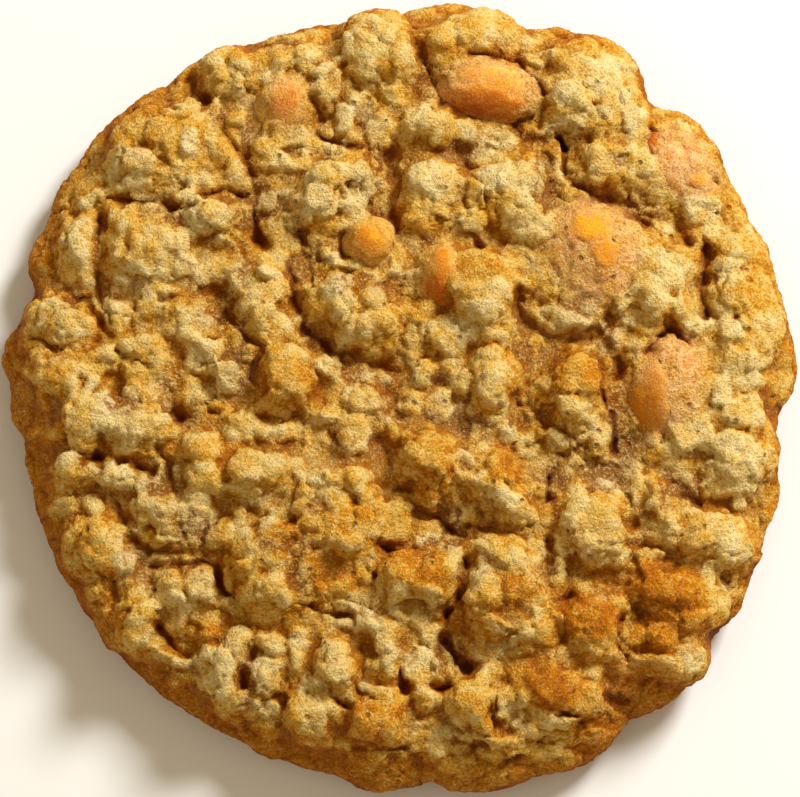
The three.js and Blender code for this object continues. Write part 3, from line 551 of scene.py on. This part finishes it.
def flaky_layer_tree():
    """Breaks a skin into flat-topped lumps that lie at their own heights and lean their own ways.

    Each lump's random tone is stored under the name given as Mark. Where the mark "film" is 1, the
    skin stays calmer.
    """
    lengths = ("Size", "Stir size", "Stir reach", "Step", "Dome", "Gap width", "Gap depth")
    inputs = dict.fromkeys((*lengths, "Lean", "Wall share", "Shift"), "Float")
    tree, given = geometry_tree("flaky_layer", inputs | {"Evening rounds": "Int", "Mark": "String"})
    place = add(tree, "GeometryNodeInputPosition").outputs[0]
    normal = blurred(tree, add(tree, "GeometryNodeInputNormal").outputs[0], given["Evening rounds"])
    middle = (0.5, 0.5, 0.5)

    shifted = vector(tree, "ADD", place, given["Shift"])[0]
    fineness = calculate(tree, "DIVIDE", 1, given["Stir size"])
    stir = add(
        tree,
        "ShaderNodeTexNoise",
        {"Vector": shifted, "Scale": fineness, "Detail": 2, "Roughness": 0.6},
    )
    strayed = vector(
        tree,
        "SCALE",
        vector(tree, "SUBTRACT", stir.outputs["Color"], middle)[0],
        Scale=calculate(tree, "MULTIPLY", given["Stir reach"], 2),
    )[0]
    moved = vector(tree, "ADD", shifted, strayed)[0]
    lay = {"Vector": moved, "Scale": calculate(tree, "DIVIDE", 1, given["Size"]), "Randomness": 1}
    lump = add(tree, "ShaderNodeTexVoronoi", lay, feature="F1").outputs
    rim = add(tree, "ShaderNodeTexVoronoi", lay, feature="DISTANCE_TO_EDGE").outputs["Distance"]
    tone = add(tree, "FunctionNodeSeparateColor", {0: lump["Color"]}).outputs[0]

    raised = calculate(tree, "MULTIPLY", calculate(tree, "SUBTRACT", tone, 0.5), given["Step"], 2)
    way = vector(tree, "SUBTRACT", lump["Color"], middle)[0]
    along = vector(tree, "DOT_PRODUCT", vector(tree, "SUBTRACT", moved, lump["Position"])[0], way)[1]
    leaned = calculate(tree, "MULTIPLY", along, calculate(tree, "MULTIPLY", given["Lean"], 2))
    out = calculate(tree, "POWER", calculate(tree, "DIVIDE", lump["Distance"], 0.7), 2)
    domed = calculate(tree, "MULTIPLY", calculate(tree, "SUBTRACT", 1, out), given["Dome"])
    from_rim = calculate(tree, "MULTIPLY", rim, given["Size"])
    parted = ranged(tree, from_rim, 0, given["Gap width"], given["Gap depth"], 0)
    lift = calculate(tree, "SUBTRACT", calculate(tree, "ADD", raised, leaned, domed), parted)

    up = add(tree, "ShaderNodeSeparateXYZ", {0: normal}).outputs["Z"]
    height = add(tree, "ShaderNodeSeparateXYZ", {0: place}).outputs["Z"]
    film = add(tree, "GeometryNodeInputNamedAttribute", {"Name": "film"}, data_type="FLOAT").outputs[0]
    lift = calculate(
        tree,
        "MULTIPLY",
        lift,
        ranged(tree, up, 0, 0.6, given["Wall share"], 1),
        ranged(tree, height, 0.2 * MM, 2 * MM),
        ranged(tree, film, 0, 1, 1, 0.5),
    )

    geometry = stored(tree, given["Geometry"], given["Mark"], tone)
    offset = vector(tree, "SCALE", normal, Scale=lift)[0]
    formed = add(tree, "GeometryNodeSetPosition", {"Geometry": geometry, "Offset": offset})
    add(tree, "NodeGroupOutput", {0: formed.outputs[0]})
    return tree


def marks_tree():
    """Stores on a skin how far each point stands out of its surroundings, and how thinly it films a chip."""
    inputs = {"Near rounds": "Int", "Wide rounds": "Int", "Chips": "Object", "Film thickness": "Float"}
    tree, given = geometry_tree("surface_marks", inputs)
    place = add(tree, "GeometryNodeInputPosition").outputs[0]
    normal = add(tree, "GeometryNodeInputNormal").outputs[0]

    def stands_out(rounds):
        away = vector(tree, "SUBTRACT", place, blurred(tree, place, given[rounds]))[0]
        along = vector(tree, "DOT_PRODUCT", away, normal)["Value"]
        return calculate(tree, "DIVIDE", along, MM)

    chips = add(tree, "GeometryNodeObjectInfo", {"Object": given["Chips"]}).outputs["Geometry"]
    near = add(tree, "GeometryNodeProximity", {0: chips}, target_element="FACES").outputs["Distance"]
    thickness = calculate(tree, "DIVIDE", near, given["Film thickness"])
    geometry = stored(tree, given["Geometry"], "stands_near", stands_out("Near rounds"))
    geometry = stored(tree, geometry, "stands_wide", stands_out("Wide rounds"))
    geometry = stored(tree, geometry, "film", ranged(tree, thickness, 1, 1.8, 1, 0))
    add(tree, "NodeGroupOutput", {0: geometry})
    return tree


# ---- Materials ---------------------------------------------------------------------------------------


def linear(red, green, blue):
    """A colour as a paint chart gives it, 0 to 255, turned to linear light."""
    parts = [c / 255 for c in (red, green, blue)]
    return tuple(c / 12.92 if c <= 0.04045 else ((c + 0.055) / 1.055) ** 2.4 for c in parts) + (1.0,)


def mixed(tree, share, first, second):
    """Mixes two colours by a share. Each colour is a socket or three numbers from 0 to 255."""
    first, second = (linear(*c) if isinstance(c, tuple) else c for c in (first, second))
    return add(tree, "ShaderNodeMix", {0: share, 6: first, 7: second}, data_type="RGBA").outputs[2]


def noise_mask(tree, place, size, low, high, detail=2.0):
    """A 0 to 1 mask from noise whose lumps are size across."""
    inputs = {"Vector": place, "Scale": 1 / size, "Detail": detail, "Roughness": 0.6}
    return ranged(tree, add(tree, "ShaderNodeTexNoise", inputs).outputs[0], low, high)


def attribute(tree, name):
    return add(tree, "ShaderNodeAttribute", attribute_name=name).outputs["Fac"]


def new_material(name):
    material = bpy.data.materials.new(name)
    material.use_nodes = True
    tree = material.node_tree
    tree.nodes.clear()
    shader = tree.nodes.new("ShaderNodeBsdfPrincipled")
    out = tree.nodes.new("ShaderNodeOutputMaterial")
    tree.links.new(shader.outputs[0], out.inputs["Surface"])
    return material, tree, shader


def grain_group():
    """Fine specks and pinholes of a baked surface: a mask of light specks, of dark ones that include painted
    shade in the pinholes, and a height.
    """
    tree = bpy.data.node_groups.new("fine_grain", "ShaderNodeTree")
    for label in ("Speck size", "Pinhole size"):
        tree.interface.new_socket(label, in_out="INPUT", socket_type="NodeSocketFloat")
    for label in ("Light", "Dark", "Height"):
        tree.interface.new_socket(label, in_out="OUTPUT", socket_type="NodeSocketFloat")
    given = tree.nodes.new("NodeGroupInput").outputs
    place = add(tree, "ShaderNodeTexCoord").outputs["Object"]
    fineness = calculate(tree, "DIVIDE", 1, given["Speck size"])
    inputs = {"Vector": place, "Scale": fineness, "Detail": 3, "Roughness": 0.7}
    fine = add(tree, "ShaderNodeTexNoise", inputs).outputs[0]
    inputs = {"Vector": place, "Scale": calculate(tree, "DIVIDE", 1, given["Pinhole size"])}
    cells = add(tree, "ShaderNodeTexVoronoi", inputs).outputs
    drawn = add(tree, "ShaderNodeSeparateColor", {0: cells["Color"]}).outputs[0]
    # the pinholes are painted dark: painted shade in the holes
    rare = calculate(tree, "GREATER_THAN", drawn, 0.8)
    holes = calculate(tree, "MULTIPLY", ranged(tree, cells["Distance"], 0.08, 0.26, 1, 0), rare)
    outputs = {
        "Light": ranged(tree, fine, 0.5, 0.68),
        "Dark": calculate(tree, "MAXIMUM", ranged(tree, fine, 0.32, 0.5, 0.8, 0), holes),
        "Height": calculate(tree, "SUBTRACT", fine, calculate(tree, "MULTIPLY", holes, 0.8)),
    }
    add(tree, "NodeGroupOutput", outputs)
    return tree


def grainy(tree, shader, grain, speck, pinhole, depth):
    """Puts the grain's bumps on a shader; gives the grain's outputs and the bumpy normal."""
    specks = add(tree, "ShaderNodeGroup", node_tree=grain)
    specks.inputs["Speck size"].default_value = speck
    specks.inputs["Pinhole size"].default_value = pinhole
    inputs = {"Strength": 1.0, "Distance": depth, "Height": specks.outputs["Height"]}
    bump = add(tree, "ShaderNodeBump", inputs).outputs[0]
    tree.links.new(bump, shader.inputs["Normal"])
    return specks.outputs, bump


def dough_material(grain):
    """Baked oat dough: golden on the lumps, moist and brown between them, and toasted in zones. Painted
    shade darkens its recesses, gaps and hollows and the wall's side away from the key light; painted light
    makes open tops and rises paler.
    """
    material, tree, shader = new_material("baked_oat_dough")
    place = add(tree, "ShaderNodeTexCoord").outputs["Object"]
    names = ("sky", "stands_near", "stands_wide", "hollow", "gap", "film", "coating", "wall")
    sky, near, wide, hollow, gap, film, coated, wall = (attribute(tree, name) for name in names)
    names = ("toasted", "moist", "tone", "pebble_tone", "crumb_tone")
    toasted, damp, tone, pebble, crumb = (attribute(tree, name) for name in names)
    patches = noise_mask(tree, place, 4 * MM, 0.32, 0.68)
    blotches = noise_mask(tree, place, 1.5 * MM, 0.32, 0.68, 3)

    def times(*values):
        return calculate(tree, "MULTIPLY", *values)

    def within(value, *limits):
        return ranged(tree, value, *limits)

    warmth = calculate(
        tree,
        "ADD",
        times(tone, 0.85),
        # painted shade and light: browner where the crust sees little sky, paler on open tops
        within(sky, 0.62, 0.97, 0.6, -0.1),
        0.1,
        within(patches, 0, 1, -0.22, 0.22),
        within(blotches, 0, 1, -0.22, 0.22),
        within(pebble, 0, 1, -0.15, 0.15),
        within(crumb, 0, 1, -0.12, 0.12),
        times(toasted, 0.45),
        # the wall mark, partly painted shade, also warms the crust
        times(wall, 0.5),
        times(damp, -0.1),
    )
    ramp = add(tree, "ShaderNodeValToRGB", {0: within(warmth, -1.2, 1.8)})
    while len(ramp.color_ramp.elements) < len(CRUST):
        ramp.color_ramp.elements.new(0.5)
    for element, (share, colour) in zip(ramp.color_ramp.elements, CRUST):
        element.position = share
        element.color = linear(*colour)

    low = within(wide, -0.3, 0.0, 1, 0)
    # painted shade where the crust sees little sky and along the gaps, weaker on the wall
    sunk_shade = calculate(tree, "MAXIMUM", within(sky, 0.2, 0.5, 1, 0), within(gap, 0.3, 1))
    sunk_shade = times(sunk_shade, within(wall, 0, 1, 1, 0.35))
    coats = [  # laid one over the other: how much of each, and its colour
        (within(toasted, 0.1, 1, 0, 0.5), TOASTED_BROWN),
        # low areas browner: partly moist dough, partly painted shade
        (times(low, within(damp, 0, 1, 0.4, 0.85)), LOW_BROWN_AND_SHADE),
        # painted shade in the broad hollows, lighter on crumbs that stand out of them
        (times(hollow, within(near, -0.04, 0.1, 0.8, 0.3)), mixed(tree, damp, *HOLLOW_SHADE_BROWNS)),
        (times(film, coated, within(blotches, 0, 1, 1, 0.6)), chip_colour(tree, place)),
        # the wall's browns: a browned foot, and painted shade up the side away from the key light
        (times(wall, 0.75), mixed(tree, blotches, *WALL_BROWNS_AND_SHADE)),
        (within(sky, 0.4, 0.82, 0.8, 0), SHADED_BROWN),
        (times(sunk_shade, 0.85), SUNK_SHADE_BROWN),
    ]
    colour = ramp.outputs[0]
    for share, coat in coats:
        colour = mixed(tree, share, colour, coat)

    specks, bump = grainy(tree, shader, grain, 0.28 * MM, 1.5 * MM, 0.45 * MM)
    # light specks are thinned where painted shade lies and on warm crust, so the shaded parts stay dark
    clear = times(
        within(sunk_shade, 0, 0.6, 0.52, 0.08),
        within(sky, 0.5, 0.85, 0.4, 1),
        within(warmth, 0.3, 1.2, 1, 0.4),
    )
    colour = mixed(tree, times(specks["Light"], clear), colour, DOUGH_SPECKS[0])
    colour = mixed(tree, times(specks["Dark"], 0.65), colour, DOUGH_SPECKS[1])
    tree.links.new(colour, shader.inputs["Base Color"])

    tree.links.new(within(wide, -0.4, 0.0, 0.5, 0.85), shader.inputs["Roughness"])
    tree.links.new(times(low, within(damp, 0, 1, 0.1, 0.4)), shader.inputs["Coat Weight"])
    tree.links.new(bump, shader.inputs["Coat Normal"])
    shader.inputs["Coat Roughness"].default_value = 0.35
    shader.inputs["Specular IOR Level"].default_value = 0.2
    shader.inputs["Specular Tint"].default_value = linear(*DOUGH_GLINT)
    return material


def chip_colour(tree, place):
    """The colour of a chip under its thin film of dough, and of the chip itself where it glows through, with
    painted shade where its hue runs dark.
    """
    mottled = noise_mask(tree, place, 0.9 * MM, 0.35, 0.65, 4)
    patchy = noise_mask(tree, place, 2.2 * MM, 0.35, 0.65, 3)
    pink = calculate(tree, "MULTIPLY", attribute(tree, "pink"), ranged(tree, patchy, 0, 1, 0.45, 1))
    film = mixed(tree, pink, mixed(tree, mottled, *PLAIN_FILM), mixed(tree, mottled, *PINKISH_FILM))
    hue = attribute(tree, "hue")
    sweet = mixed(tree, ranged(tree, hue, 0, 1), *CHIP_HUES_AND_SHADE[:2])
    # hues past 1 darken towards the dark end: painted shade
    sweet = mixed(tree, ranged(tree, hue, 1, 2), sweet, CHIP_HUES_AND_SHADE[2])
    uneven = calculate(tree, "ADD", attribute(tree, "glow"), ranged(tree, mottled, 0, 1, -0.35, 0.1))
    return mixed(tree, ranged(tree, uneven, 0.1, 0.85, 0, 0.97), film, sweet)


def butterscotch_material(grain):
    """Softened butterscotch, filmed with dough away from its bare spots."""
    material, tree, shader = new_material("butterscotch")
    colour = chip_colour(tree, add(tree, "ShaderNodeTexCoord").outputs["Object"])
    specks, _ = grainy(tree, shader, grain, 0.22 * MM, 4 * MM, 0.2 * MM)
    glow = attribute(tree, "glow")
    light = calculate(tree, "MULTIPLY", specks["Light"], ranged(tree, glow, 0.2, 1, 0.55, 0.2))
    colour = mixed(tree, light, colour, CHIP_SPECKS[0])
    dark = calculate(tree, "MULTIPLY", specks["Dark"], ranged(tree, glow, 0.2, 1, 0.55, 0.3))
    colour = mixed(tree, dark, colour, CHIP_SPECKS[1])
    tree.links.new(colour, shader.inputs["Base Color"])
    tree.links.new(ranged(tree, glow, 0.2, 1, 0.8, 0.38), shader.inputs["Roughness"])
    shader.inputs["Subsurface Weight"].default_value = 0.15
    shader.inputs["Subsurface Radius"].default_value = (1.0, 0.4, 0.1)
    shader.inputs["Subsurface Scale"].default_value = 1.5 * MM
    shader.inputs["Specular IOR Level"].default_value = 0.3
    shader.inputs["Specular Tint"].default_value = linear(*CHIP_GLINT)
    return material


# ---- Forms placed by the photograph --------------------------------------------------------------------


def plan_at(across, down):
    return np.array(at_pixel(across, down))[:2]


def waviness(points, size):
    return np.array([noise.noise(Vector(p) / size) for p in points])


def wavered(points, waves):
    """The points in plan, moved by waves of a size and a reach, both in mm."""
    plan = points[:, :2].copy()
    for size, reach in waves:
        steps = [noise.noise_vector(Vector(p) / (size * MM))[:2] for p in points]
        plan += np.array(steps) * (reach * MM)
    return plan


def in_patch(plan, across, down, half_length, half_width, turn):
    """How far along and aside points lie from a patch's middle, in the patch's own half sizes."""
    offset = (plan - plan_at(across, down)) / PIXEL
    cos, sin = math.cos(math.radians(turn)), math.sin(math.radians(turn))
    return (offset @ (cos, -sin)) / half_length, (offset @ (-sin, -cos)) / half_width


def on_top(points):
    return smooth_step(points[:, 2], *TOP_RANGE)


def spots(points, rows):
    """How strongly round spots, given as across, down, radius and strength, reach points."""
    reached = np.zeros(len(points))
    for across, down, radius, strength in rows:
        out = np.linalg.norm(points[:, :2] - plan_at(across, down), axis=1) / (radius * PIXEL)
        reached = np.maximum(reached, strength * (1 - smooth_step(out, 0.3, 1)))
    return reached


def gap_depths(points):
    """How deep the dark gaps cut into points of the top, in mm, and how near their middle each point is."""
    plan = wavered(points, GAP_WAVES)
    widening = np.clip(0.68 + 1.2 * waviness(points, 1.7 * MM), 0.2, 1.4)
    fading = np.clip(0.9 + 1.2 * waviness(points, 4.1 * MM), 0.3, 1)
    depths, shares = np.zeros(len(points)), np.zeros(len(points))
    for half_width, depth, path in GAPS:
        corners = [plan_at(*corner) for corner in path]
        away = np.full(len(points), np.inf)
        for start, end in zip(corners, corners[1:]):
            run = end - start
            along = np.clip((plan - start) @ run / (run @ run), 0, 1)
            away = np.minimum(away, np.linalg.norm(plan - start - along[:, None] * run, axis=1))
        away /= half_width * PIXEL
        share = np.clip(1.1 - away / widening, 0, 1) * np.clip(0.4 + 0.6 * widening, 0, 1) * fading
        shoulder = np.clip(1 - away / 2.2, 0, 1) ** 2
        shares = np.maximum(shares, share * min(1, depth))
        depths = np.maximum(depths, depth * (0.72 * share + 0.33 * shoulder))
    return depths * on_top(points), shares * on_top(points)


def swells(points):
    """How far the broad rises and hollows lift points of the top, in mm."""
    plan = wavered(points, SWELL_WAVES)
    lift = np.zeros(len(points))
    for *patch, rise in SWELLS:
        lift += rise * (1 - smooth_step(np.hypot(*in_patch(plan, *patch)), 0.35, 1.3))
    return np.clip(lift, -0.9, 0.4) * on_top(points)


def lump_shapes(points):
    """How high the lumps raise points of the top, as a share of LUMP_HEIGHT, and their tone, -1 to 1."""
    plan = wavered(points, LUMP_WAVES)
    draw = np.random.default_rng(5)
    lift, tones, weights = (np.zeros(len(points)) for _ in range(3))
    for across, down, half_length, half_width, turn, height, tone in LUMPS:
        lean = draw.uniform(-LUMP_LEAN, LUMP_LEAN, 2)
        reach = 1.6 * max(half_length, half_width) * PIXEL
        near = np.flatnonzero(np.abs(plan - plan_at(across, down)).max(axis=1) < reach)
        along, aside = in_patch(plan[near], across, down, half_length, half_width, turn)
        out = (np.abs(along) ** 2.5 + np.abs(aside) ** 2.5) ** 0.4
        crown = 0.92 + 0.08 * (1 - np.minimum(out, 1) ** 2) + lean[0] * along + lean[1] * aside
        lift[near] = np.maximum(lift[near], height * crown * (1 - smooth_step(out, 0.78, 1.14)))
        weight = height * (1 - smooth_step(out, 0.5, 1.25))
        tones[near] += weight * tone
        weights[near] += weight
    return lift * on_top(points), tones / np.maximum(weights, 0.35) * on_top(points)


def spot_distances(points):
    """How far points are from the middle of each bare spot, in the spot's own size."""
    plan = wavered(points, SPOT_WAVES)
    return np.array([np.hypot(*in_patch(plan, *spot[1:6])) for spot in BARE_SPOTS])


def bareness(points, inner, outer):
    """How open the skin over a chip is, from 1 well inside a bare spot to 0 outside it."""
    strengths = np.array([spot[6] for spot in BARE_SPOTS])
    shares = strengths[:, None] * (1 - smooth_step(spot_distances(points), inner, outer))
    return shares.max(axis=0) * smooth_step(points[:, 2], 4 * MM, 6 * MM)


def coating(points):
    """Where a chip's smooth back shows, bare or filmed over."""
    return (1 - smooth_step(spot_distances(points), 1, 1.7)).max(axis=0)


def sky_shares(points, normals):
    """How much of the sky each point sees past the heights around it, from 0 to 1."""
    margin = SKY_REACHES[-1] + MM
    corner = points[:, :2].min(axis=0) - margin
    counts = ((points[:, :2].max(axis=0) + margin - corner) / SKY_CELL).astype(int) + 1
    sums, hits = np.zeros(counts), np.full(counts, 1e-6)
    upper = points[normals[:, 2] > 0.2]
    cells = tuple(((upper[:, :2] - corner) / SKY_CELL).astype(int).T)
    np.add.at(sums, cells, upper[:, 2])
    np.add.at(hits, cells, 1)
    for axis in (0, 1):
        sums = sums + 0.5 * (np.roll(sums, 1, axis) + np.roll(sums, -1, axis))
        hits = hits + 0.5 * (np.roll(hits, 1, axis) + np.roll(hits, -1, axis))
    heights = sums / hits
    seen = np.zeros(len(points))
    turns = np.arange(SKY_WAYS) * math.tau / SKY_WAYS
    for way in np.column_stack((np.cos(turns), np.sin(turns))):
        horizon = np.zeros(len(points))
        for reach in SKY_REACHES:
            place = ((points[:, :2] + way * reach - corner) / SKY_CELL).astype(int)
            horizon = np.maximum(horizon, (heights[tuple(place.T)] - points[:, 2]) / reach)
        seen += 1 / (1 + horizon**2)
    return np.where(normals[:, 2] < -0.5, UNDERSIDE_SKY, seen / SKY_WAYS)


def wall_browning_and_shade(points):
    """The wall is browned all round at its foot, and, as painted shade away from the key light, higher up on
    the near left than on the far right.
    """
    side = (points[:, :2] @ SHADE_SIDE) / np.maximum(np.linalg.norm(points[:, :2], axis=1), MM)
    top = (4.2 + 2.2 * side) * MM
    return 1 - smooth_step(points[:, 2], top - 1.8 * MM, top + 1.5 * MM)


def mark_chip_colours(mesh):
    """Stores what a chip's colour, or that of the dough near one, depends on."""
    points = points_of(mesh)
    weights = np.exp(-3 * spot_distances(points))
    weights /= weights.sum(axis=0)
    set_mark(mesh, "glow", bareness(points, 0.3, 1.5))
    set_mark(mesh, "hue", np.array([spot[7] for spot in BARE_SPOTS]) @ weights)
    set_mark(mesh, "pink", np.array([spot[8] for spot in BARE_SPOTS]) @ weights)
    set_mark(mesh, "coating", coating(points))


# ---- Dough -------------------------------------------------------------------------------------------

# The layers of the crust, from coarse to fine.
PEBBLES = {
    "size": 4.2 * MM, "stir_size": 1.8 * MM, "stir_reach": 0.8 * MM, "step": 0.12 * MM, "lean": 0.08,
    "dome": 0.06 * MM, "gap_width": 0.5 * MM, "gap_depth": 0.12 * MM, "wall_share": 0.3, "shift": 0.0,
    "evening_rounds": 16, "mark": "pebble_tone",
}
CRUMBS = {
    "size": 2.1 * MM, "stir_size": 0.9 * MM, "stir_reach": 0.4 * MM, "step": 0.07 * MM, "lean": 0.06,
    "dome": 0.12 * MM, "gap_width": 0.35 * MM, "gap_depth": 0.11 * MM, "wall_share": 0.5, "shift": 0.31,
    "evening_rounds": 12, "mark": "crumb_tone",
}
NUBS = {
    "size": 0.95 * MM, "stir_size": 0.5 * MM, "stir_reach": 0.18 * MM, "step": 0.03 * MM, "lean": 0.08,
    "dome": 0.1 * MM, "gap_width": 0.25 * MM, "gap_depth": 0.05 * MM, "wall_share": 0.7, "shift": 0.77,
    "evening_rounds": 6, "mark": "nub_tone",
}


def chips_in_one(swell):
    """All chips as one mesh, each swollen by a thickness."""
    meshes = [merged_copy(name, name) for name in CHIPS]
    if swell:
        for mesh in meshes:
            set_points(mesh, points_of(mesh) + normals_of(mesh) * swell)
    return in_one("chips_in_one", meshes)


def lay_crust(mesh):
    """Raises the lumps and swells and cuts the gaps; chips keep a calm film of dough."""
    points = points_of(mesh)
    film = read_mark(mesh, "film") * coating(points)
    set_mark(mesh, "film", film)
    raised = (lump_shapes(points)[0] - LUMP_LEVEL) * LUMP_HEIGHT
    points[:, 2] += raised * (1 - FILM_CALM * film) * on_top(points)
    points[:, 2] -= gap_depths(points)[0] * GAP_SHARE * MM
    points[:, 2] += swells(points) * SWELL_SHARE * MM
    set_points(mesh, points)


def press_and_flatten(mesh):
    """The skin is pressed in where a chip is bare, and flat where it lay on the tray."""
    points = points_of(mesh)
    points[:, 2] -= bareness(points, 0.7, 1.1) * BARE_DEPTH
    points[:, 2] = np.where(points[:, 2] < FOOT_HEIGHT, 0, points[:, 2])
    set_points(mesh, points)


def mark_crust(mesh):
    """Stores what the crust's colour depends on."""
    points = points_of(mesh)
    rises = swells(points)
    # tone: the lumps' own tone, made paler where the crust rises as painted light
    set_mark(mesh, "tone", lump_shapes(points)[1] - np.maximum(rises, 0) * RISE_PAINTED_LIGHT)
    # hollow: where painted shade is laid in the broad hollows
    set_mark(mesh, "hollow", np.clip(-rises / HOLLOW_DEPTH, 0, 1))
    set_mark(mesh, "sky", sky_shares(points, normals_of(mesh)))
    set_mark(mesh, "toasted", spots(points, TOASTED))
    set_mark(mesh, "moist", spots(points, MOIST))
    set_mark(mesh, "gap", gap_depths(points)[1])
    set_mark(mesh, "wall", wall_browning_and_shade(points))
    mark_chip_colours(mesh)


def build_dough(material):
    filmed = in_one("filmed_dough", [merged_copy("dough", "dough"), chips_in_one(FILM)])
    dough = new_object("cookie_dough", filmed)
    chips = new_object("chips_for_marks", chips_in_one(0))
    near_chips = {"chips": chips, "film_thickness": FILM_REACH}
    fuse(dough, CORE_STEP)
    smooth = dough.modifiers.new("soften", "SMOOTH")
    smooth.factor, smooth.iterations = SOFTENING
    settle(dough)
    fuse(dough, SKIN_STEP)

    marks = marks_tree()
    run_tree(dough, marks, near_rounds=3, wide_rounds=3, **near_chips)
    lay_crust(dough.data)
    layer = flaky_layer_tree()
    for settings in (PEBBLES, CRUMBS, NUBS):
        run_tree(dough, layer, **settings)
    press_and_flatten(dough.data)

    thin = dough.modifiers.new("thin", "DECIMATE")
    thin.ratio = DOUGH_TRIANGLES / sum(len(p.vertices) - 2 for p in dough.data.polygons)
    settle(dough)
    run_tree(dough, marks, near_rounds=6, wide_rounds=60, **near_chips)
    bpy.data.objects.remove(chips)
    mark_crust(dough.data)
    finish_piece(dough, material, "dough")


# ---- Chips -------------------------------------------------------------------------------------------


def build_chip(name, material):
    chip = new_object(f"butterscotch_{name}", merged_copy(name, f"butterscotch_{name}"))
    rounder = chip.modifiers.new("round", "SUBSURF")
    rounder.levels = 2
    rounder.render_levels = 2
    settle(chip)
    points, normals = points_of(chip.data), normals_of(chip.data)
    swell = CHIP_SWELL * bareness(points, 0.6, 1.5)
    swell += CHIP_DENT * waviness(points, 3 * MM) + CHIP_GRAIN * waviness(points, 0.8 * MM)
    set_points(chip.data, points + normals * swell[:, None])
    mark_chip_colours(chip.data)
    finish_piece(chip, material, name)


# ---- Stage -------------------------------------------------------------------------------------------


def aim_at(thing, target):
    away = thing.location - Vector(target)
    thing.rotation_euler = away.to_track_quat("Z", "Y").to_euler()


def build_camera():
    camera = bpy.data.cameras.new("camera")
    camera.sensor_width = SENSOR_WIDTH
    camera.lens = SENSOR_WIDTH * VIEW_DISTANCE / VIEW_WIDTH
    camera.clip_start = 10 * MM
    camera.clip_end = 10
    made = new_object("camera", camera)
    made.location = EYE
    aim_at(made, VIEW_AIM)
    bpy.context.scene.camera = made


def area_light(name, azimuth, elevation, distance, size, power, colour):
    """A square light seen from the cookie at an azimuth, counted from +X to +Y, and an elevation."""
    light = bpy.data.lights.new(name, "AREA")
    light.size = size
    light.energy = power
    light.color = colour
    made = new_object(name, light)
    turn, rise = math.radians(azimuth), math.radians(elevation)
    made.location = distance * Vector(
        (math.cos(turn) * math.cos(rise), math.sin(turn) * math.cos(rise), math.sin(rise))
    )
    aim_at(made, (0, 0, 0))


def build_stage():
    half = 1.5
    corners = [(-half, -half, 0), (half, -half, 0), (half, half, 0), (-half, half, 0)]
    mesh = bpy.data.meshes.new("floor")
    mesh.from_pydata(corners, [], [(0, 1, 2, 3)])
    floor = new_object("floor", mesh)
    material, _, shader = new_material("pale_floor")
    shader.inputs["Base Color"].default_value = (0.86, 0.86, 0.86, 1)
    shader.inputs["Roughness"].default_value = 0.9
    floor.data.materials.append(material)

    world = bpy.data.worlds.new("studio")
    world.use_nodes = True
    world.node_tree.nodes["Background"].inputs[0].default_value = (1, 0.79, 0.48, 1)
    world.node_tree.nodes["Background"].inputs[1].default_value = 0.43
    bpy.context.scene.world = world
    area_light("key", azimuth=50, elevation=38, distance=0.7, size=0.2, power=6.7, colour=(1, 1, 0.97))
    area_light("fill", azimuth=215, elevation=60, distance=0.8, size=0.6, power=0.4, colour=(1, 0.98, 0.95))
    bpy.context.scene.view_settings.view_transform = "Standard"


# ---- Everything --------------------------------------------------------------------------------------

build_camera()
build_stage()
grain = grain_group()
build_dough(dough_material(grain))
butterscotch = butterscotch_material(grain)
for name in CHIPS:
    build_chip(name, butterscotch)
